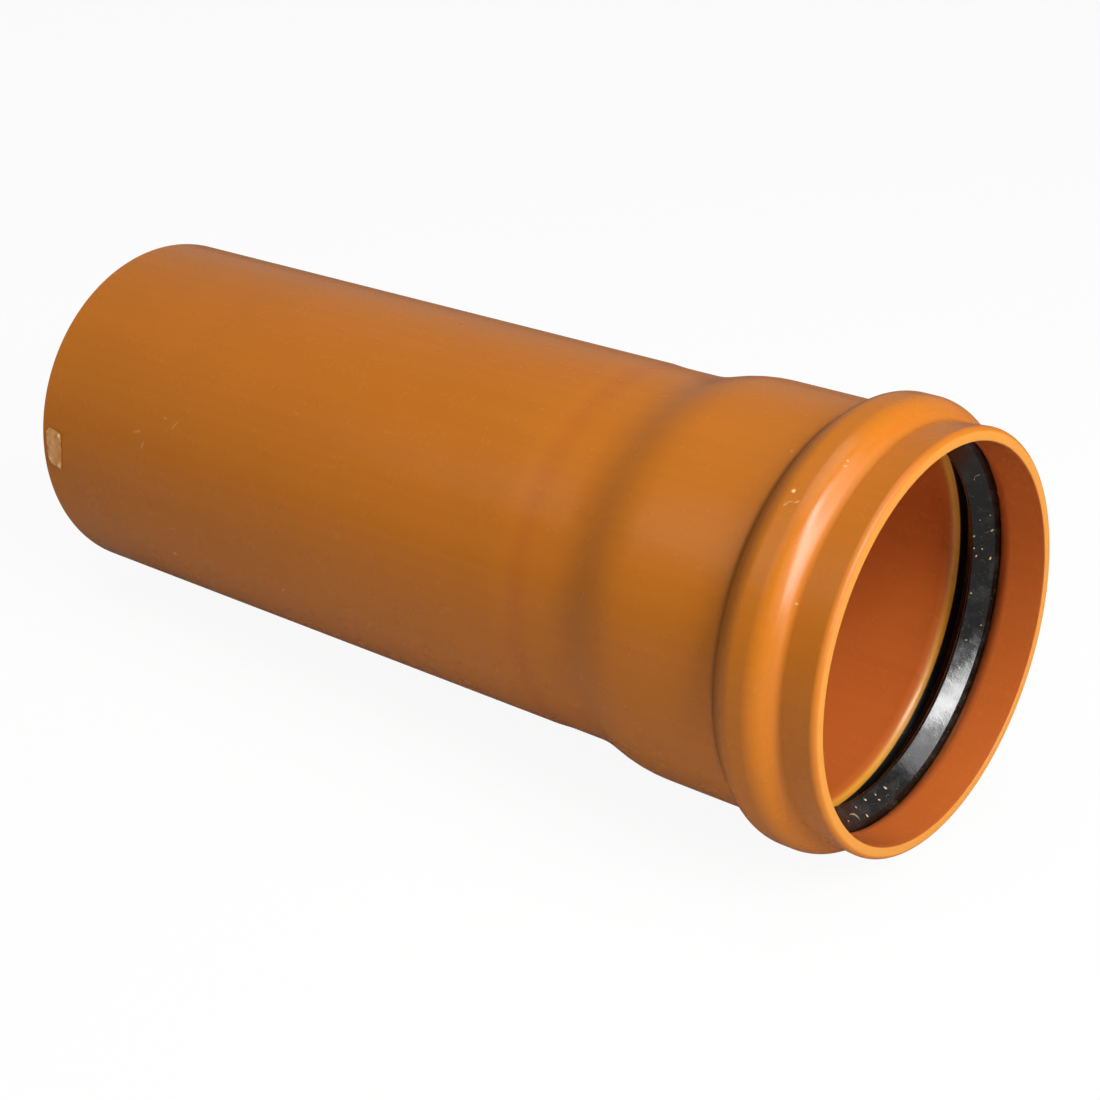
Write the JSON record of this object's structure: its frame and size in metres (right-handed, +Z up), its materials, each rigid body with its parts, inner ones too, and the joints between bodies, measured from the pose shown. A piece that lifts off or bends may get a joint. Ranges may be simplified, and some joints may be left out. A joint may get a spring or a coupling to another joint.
{
  "type": "plastic socketed drain pipe",
  "caption": "Short orange-brown plastic drain pipe with a belled push-fit socket, a raised bead holding a black rubber lip seal inside it, and a plain spigot at the other end.",
  "frame": {"origin": "on the floor, under the middle of the lying pipe's box", "axes": "+X from the spigot end towards the socket's mouth, +Z up. The pipe's axis climbs by 1.82 degrees towards the mouth, because the pipe rests on its bead and on the lower edge of its spigot end"},
  "size_m": [0.3074, 0.1278, 0.1278],
  "materials": {
    "orange_plastic": "extruded, satin, fine drawing marks along the barrel, shinier on the stretched socket",
    "black_rubber": "moulded, satin with a soft gloss from its slip film, dusty in places"
  },
  "bodies": {
    "root": {"pipe": "orange_plastic", "seal_ring": "black_rubber"}
  },
  "joints": []
}
